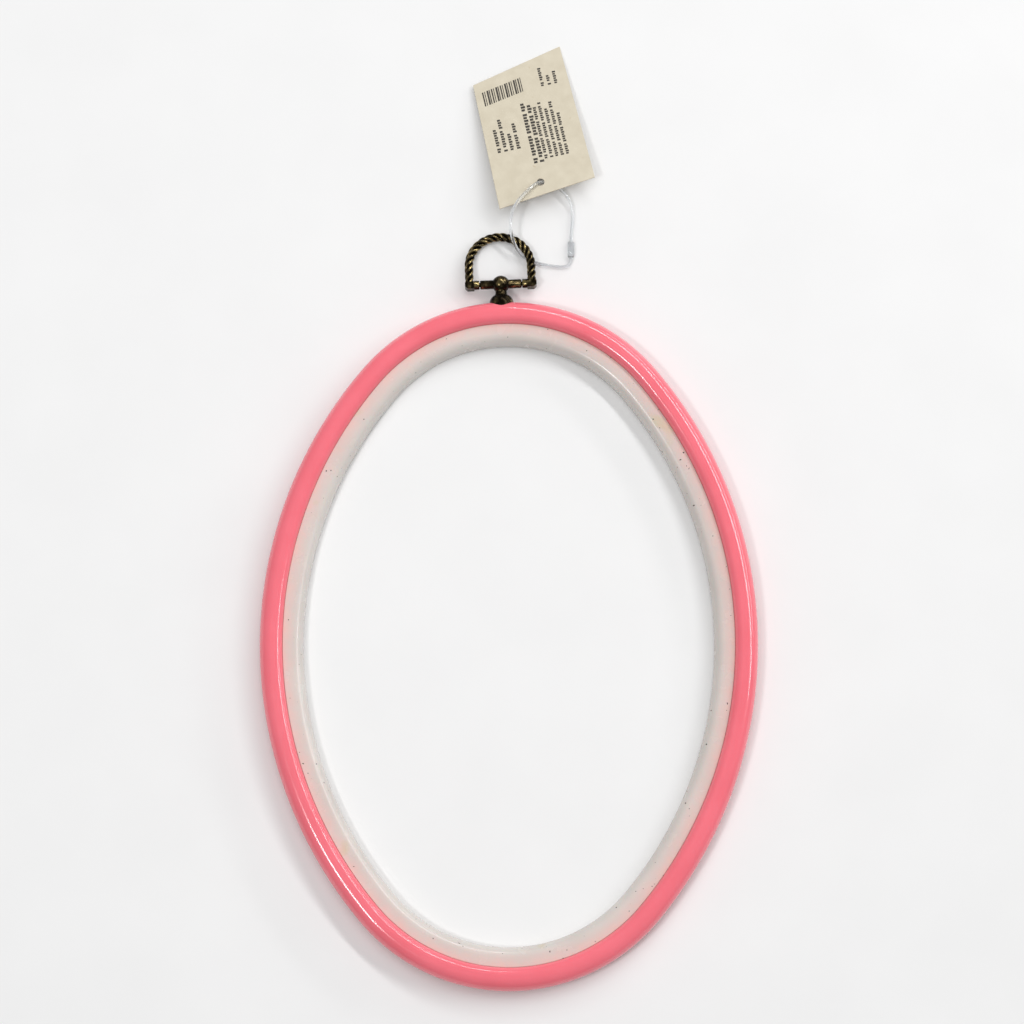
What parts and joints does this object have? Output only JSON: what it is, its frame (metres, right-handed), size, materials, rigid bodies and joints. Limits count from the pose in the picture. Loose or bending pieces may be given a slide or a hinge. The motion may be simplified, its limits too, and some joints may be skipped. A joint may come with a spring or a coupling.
{
  "type": "embroidery hoop",
  "caption": "Oval flexible embroidery hoop: a soft outer ring stretched round a rigid inner ring, with a twisted-rope hanging bail and a card tag on a nylon loop.",
  "frame": {"origin": "centre of the hoop's oval opening, on the flat plane of the rings' back", "axes": "+Z out of the hoop's front face, +Y along the oval's long axis towards the hanger, +X to the right"},
  "size_m": [0.178, 0.3421, 0.0107],
  "materials": {
    "pink_vinyl": "glossy flexible vinyl",
    "white_plastic": "glossy off-white moulded plastic",
    "antique_bronze": "darkened antique bronze with rubbed highlights",
    "plated_steel": "plain plated",
    "clear_nylon": "clear moulded nylon",
    "cream_card": "uncoated cream card"
  },
  "bodies": {
    "inner": {"inner_ring": "white_plastic"},
    "outer": {"outer_ring": "pink_vinyl", "hanger_base": "antique_bronze", "hanger_post": "antique_bronze", "hanger_screw": "plated_steel", "screw_washer": "plated_steel"},
    "hanging_bail": {"bail": "antique_bronze", "bail_axle": "antique_bronze"},
    "loop": {"tag_loop": "clear_nylon", "loop_lock": "clear_nylon"},
    "card": {"tag": "cream_card"}
  },
  "joints": [
    {"name": "outer_ring_lift", "type": "slide", "parent": "inner", "child": "outer", "axis": [0, 0, 1], "range_m": [0, 0.03]},
    {"name": "bail_swing", "type": "hinge", "parent": "outer", "child": "hanging_bail", "pos_m": [-0.00297, 0.13084, 0.0046], "axis": [0.9992, 0.0391, 0], "range_deg": [-110, 125]},
    {"name": "loop_swing", "type": "hinge", "parent": "hanging_bail", "child": "loop", "pos_m": [0.00535, 0.14549, 0.00244], "axis": [0.6224, -0.7721, 0.1285], "range_deg": [0, 40]},
    {"name": "tag_turn", "type": "hinge", "parent": "loop", "child": "card", "pos_m": [0.0115, 0.1685, 0.0065], "axis": [-0.029, 0.1275, 0.9914], "range_deg": [-40, 12]}
  ]
}
